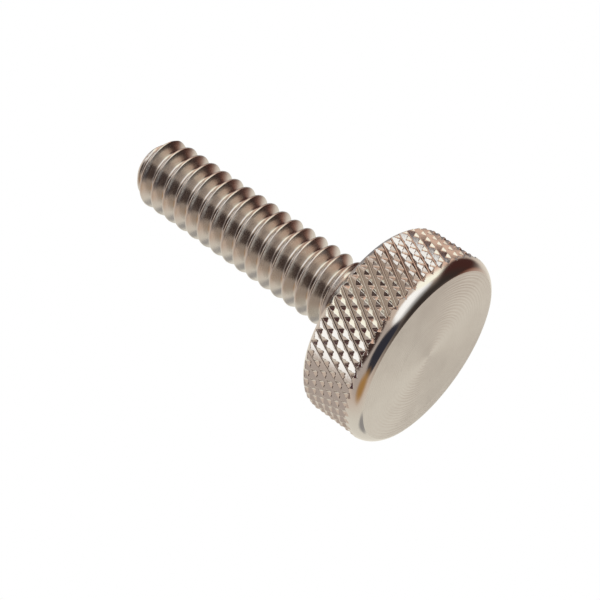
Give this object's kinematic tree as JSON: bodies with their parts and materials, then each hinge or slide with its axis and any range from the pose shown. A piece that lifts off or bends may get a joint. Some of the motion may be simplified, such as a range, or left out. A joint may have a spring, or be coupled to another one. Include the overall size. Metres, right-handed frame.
{
  "type": "knurled thumb screw",
  "caption": "Thumb screw turned in one piece: flat round head with a diamond knurl, plain neck and a fully threaded shank, to clamp a panel by hand.",
  "frame": {"origin": "centre of the head's flat outer face, which the screw stands on", "axes": "+Z along the screw's axis from the flat face of the head to the tip; +X and +Y are any two directions square to it"},
  "size_m": [0.0132, 0.0132, 0.0237],
  "materials": {
    "steel": "turned, bright"
  },
  "bodies": {
    "root": {"thumb_screw": "steel"}
  },
  "joints": []
}
